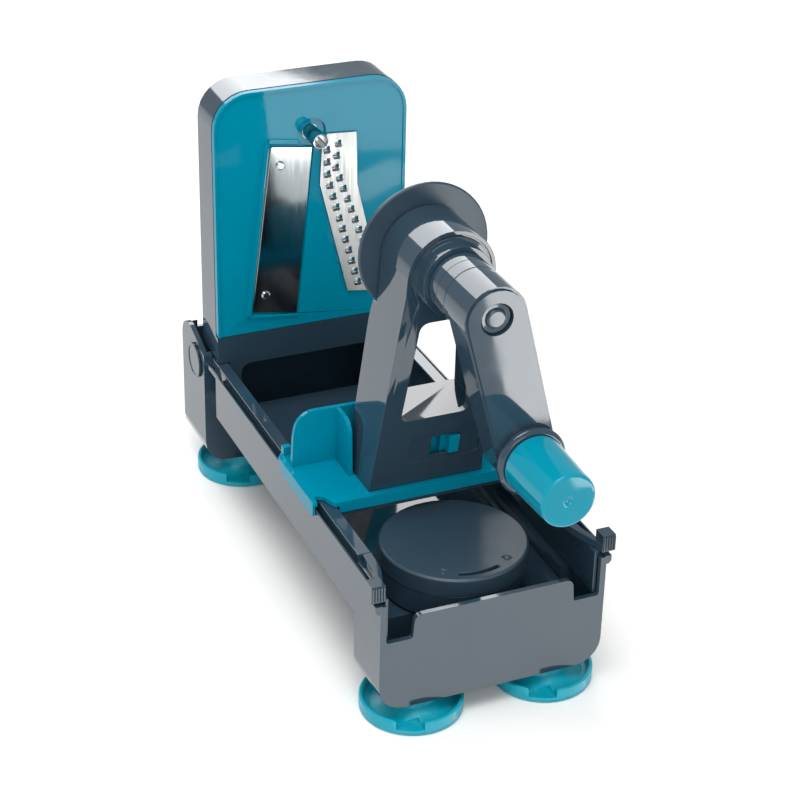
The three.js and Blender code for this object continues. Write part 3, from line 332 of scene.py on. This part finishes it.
def softened(node, name, edge_mm):
    """A copy of a CAD node with its doubles merged, flat faces joined and every edge rounded by a bevel."""
    mesh = frame["nodes"][node].data.copy()
    mesh.name = name
    build = bmesh.new()
    build.from_mesh(mesh)
    bmesh.ops.remove_doubles(build, verts=build.verts, dist=CAD_MERGE)
    bmesh.ops.dissolve_limit(build, angle_limit=FLAT_ANGLE, verts=build.verts, edges=build.edges)
    finish_mesh(mesh, build)
    mesh.set_sharp_from_angle(angle=EDGE_ANGLE)
    piece = add_piece(name, mesh)
    bevel = piece.modifiers.new("edge_round", "BEVEL")
    bevel.width = edge_mm * MM
    bevel.segments = EDGE_SEGMENTS
    bevel.limit_method = "ANGLE"
    bevel.angle_limit = EDGE_ANGLE
    bevel.use_clamp_overlap = True
    bevel.harden_normals = True
    put_on(piece, node)


# Width of the rounded edge of each moulded piece, in millimetres.
SOFTENED = {
    "tray": 0.7, "side_rail_left": 0.35, "side_rail_right": 0.35, "ear_cap_left": 0.3, "ear_cap_right": 0.3,
    "release_arm_left": 0.25, "release_arm_right": 0.25, "storage_cup": 0.4, "cup_lid": 0.4,
    "blade_housing": 0.9, "blade_plate": 0.4, "carriage": 0.6, "slide_keeper": 0.3, "tower": 0.9,
    "tower_latch": 0.4, "crank_arm": 1.3, "food_disc": 0.2, "foot_front_left": 0.4,
    "foot_front_right": 0.4, "foot_rear_left": 0.4, "foot_rear_right": 0.4,
}


def soften_all():
    """Every moulded piece gets its rounded edges."""
    for node, edge in SOFTENED.items():
        softened(node, f"{node}_moulded", edge)


# Profiles of the round pieces: [radius, distance from the front end, corner size] in millimetres. Each runs
# from the axis or bore round the outside and back, so that the turned surface closes.
KNOB_PROFILE = [
    [0, 1.3, 0], [1.2, 1.0, 0.4], [2.6, 0, 0.6], [11.4, 0, 0], [14.3, 0, 1.7], [15.0, 18.0, 0],
    [15.7, 37.0, 0.9], [3.3, 37.0, 0], [3.3, 7.0, 0], [0, 7.0, 0],
]
FLANGE_PROFILE = [
    [3.3, 0, 0], [16.6, 0, 0.6], [18.4, 1.8, 0.8], [17.8, 4.8, 0.3], [3.3, 4.8, 0], [3.3, 0, 0],
]
SLEEVE_PROFILE = [
    [4.2, 0, 0], [16.0, 0, 0.5], [16.0, 8.4, 0], [15.8, 8.5, 0], [15.8, 8.8, 0], [16.0, 8.9, 0],
    [16.0, 17.3, 0.6], [4.2, 17.3, 0], [4.2, 0, 0],
]
CAP_PROFILE = [
    [0, 0, 0], [4.3, 0, 0.5], [5.0, 0.6, 0.3], [5.3, 1.4, 0.3], [7.2, 1.2, 0.2], [8.0, 1.7, 0.3],
    [8.0, 2.1, 0], [0, 2.1, 0],
]
TUBE_PROFILE = [
    [3.6, 0.1, 0], [4.2, 0, 0], [4.3, 0.3, 0.1], [4.3, 23.2, 0], [3.6, 23.2, 0], [3.6, 0.1, 0],
]
TURNED = {
    "knob": KNOB_PROFILE, "knob_flange": FLANGE_PROFILE, "crank_sleeve": SLEEVE_PROFILE,
    "crank_cap": CAP_PROFILE, "coring_tube": TUBE_PROFILE,
}


def turn_all():
    """Each round piece stands on its node's axis: the middle of its box in x and z, the front end in y."""
    for node, corners in TURNED.items():
        low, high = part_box(node)
        centre = (0.5 * (low.x + high.x), low.y, 0.5 * (low.z + high.z))
        put_on(turned(f"{node}_turned", corners, centre), node)


def finish_frame_nodes():
    """The CAD nodes that stay get their materials."""
    for node, thing in frame["nodes"].items():
        thing.data.materials.clear()
        thing.data.materials.append(finish_of(node))


# ---------- floor, lights and camera ----------

FLOOR_HALF = 3.0
FLOOR_DROP = 0.2 * MM        # keeps the floor clear of the underside of the feet
ROOM_LIGHT = 0.5
CARD_HEIGHT = 0.002

# Lamps: name, place, aim, width, height, radiance, colour.
LAMPS = [
    ("back_panel", (0.0, 2.1, 1.45), (0, 0, 0.2), 2.2, 0.8, 5.2, WHITE),
    ("top_lamp", (-0.4, -0.5, 2.0), (0, 0, 0.1), 1.3, 1.3, 5.6, WHITE),
    ("front_lamp", (-0.4, -2.0, 1.1), (0, 0, 0.1), 1.5, 1.0, 3.0, WHITE),
    ("left_panel", (-1.8, 0.3, 0.9), (0, 0, 0.1), 1.2, 1.0, 0.5, PANEL_BLUE),
]
# Cards: name, x, y, turn in degrees, width, depth, radiance.
CARDS = [
    ("plate_card", 0.2085, -0.2764, -30.7, 0.080, 0.036, 10.0),
    ("arm_card", 0.296, -0.424, 20.0, 0.260, 0.218, 8.0),
    ("front_card", 0.028, -0.20, 0.0, 0.190, 0.12, 1.3),
]


def make_floor():
    """A flat square floor: two by two grid points at the table height."""
    side = np.array([-FLOOR_HALF, FLOOR_HALF])
    x, y = np.meshgrid(side, side, indexing="ij")
    points = np.stack([x, y, np.full_like(x, -FLOOR_DROP)], axis=2)
    floor = grid_piece("studio_floor", points, close_u=False)
    floor.data.materials.append(painted_floor("studio_floor_matt", FLOOR))


def add_softbox(name, place, aim, width, height, radiance, colour):
    """A flat lamp whose power is pi * area * radiance, so that radiance 1 is the white of the background."""
    light = bpy.data.lights.new(name, "AREA")
    light.shape = "RECTANGLE"
    light.size = width
    light.size_y = height
    light.energy = math.pi * width * height * radiance
    light.color = linear(colour)[:3]
    lamp = bpy.data.objects.new(name, light)
    lamp.location = place
    lamp.rotation_euler = (Vector(aim) - Vector(place)).to_track_quat("-Z", "Y").to_euler()
    lamp.visible_camera = False
    bpy.context.scene.collection.objects.link(lamp)
    return lamp


def add_card(name, x, y, turn, width, depth, radiance):
    """A sheet of light on the table, seen in the gloss of the pieces only; turn is in degrees about z."""
    card = add_softbox(name, (x, y, CARD_HEIGHT), (x, y, 1.0), width, depth, radiance, WHITE)
    card.rotation_euler = (math.pi, 0.0, math.radians(turn))
    card.visible_diffuse = False


def make_lights():
    """A dim even room, a bright panel behind, lamps above, in front and at the left, and the cards."""
    world = bpy.data.worlds.new("studio")
    world.use_nodes = True
    world.node_tree.nodes["Background"].inputs["Color"].default_value = (1.0, 1.0, 1.0, 1.0)
    world.node_tree.nodes["Background"].inputs["Strength"].default_value = ROOM_LIGHT
    scene = bpy.context.scene
    scene.world = world
    scene.view_settings.view_transform = "Standard"
    for lamp in LAMPS:
        add_softbox(*lamp)
    for card in CARDS:
        add_card(*card)


CAMERA_PLACE = (-0.39285, -0.89914, 0.64843)
CAMERA_AZIMUTH = math.radians(-23.92)
CAMERA_ELEVATION = math.radians(28.88)
CAMERA_ROLL = math.radians(1.39)
CAMERA_LENS = 94.70
CAMERA_SENSOR = 36


def make_camera():
    """The camera looks down its own -Z; its axes come from azimuth, elevation and roll."""
    a, e, r = CAMERA_AZIMUTH, CAMERA_ELEVATION, CAMERA_ROLL
    back = Vector((math.sin(a) * math.cos(e), -math.cos(a) * math.cos(e), math.sin(e)))
    right = (-back).cross(Vector((0, 0, 1))).normalized()
    up = right.cross(-back)
    side = math.cos(r) * right + math.sin(r) * up
    top = -math.sin(r) * right + math.cos(r) * up
    lens = bpy.data.cameras.new("camera")
    lens.lens = CAMERA_LENS
    lens.sensor_width = CAMERA_SENSOR
    camera = bpy.data.objects.new("camera", lens)
    turn = Matrix((side, top, back)).transposed()
    camera.matrix_world = Matrix.Translation(CAMERA_PLACE) @ turn.to_4x4()
    bpy.context.scene.collection.objects.link(camera)
    bpy.context.scene.camera = camera


finish_frame_nodes()
soften_all()
turn_all()
make_floor()
make_lights()
make_camera()
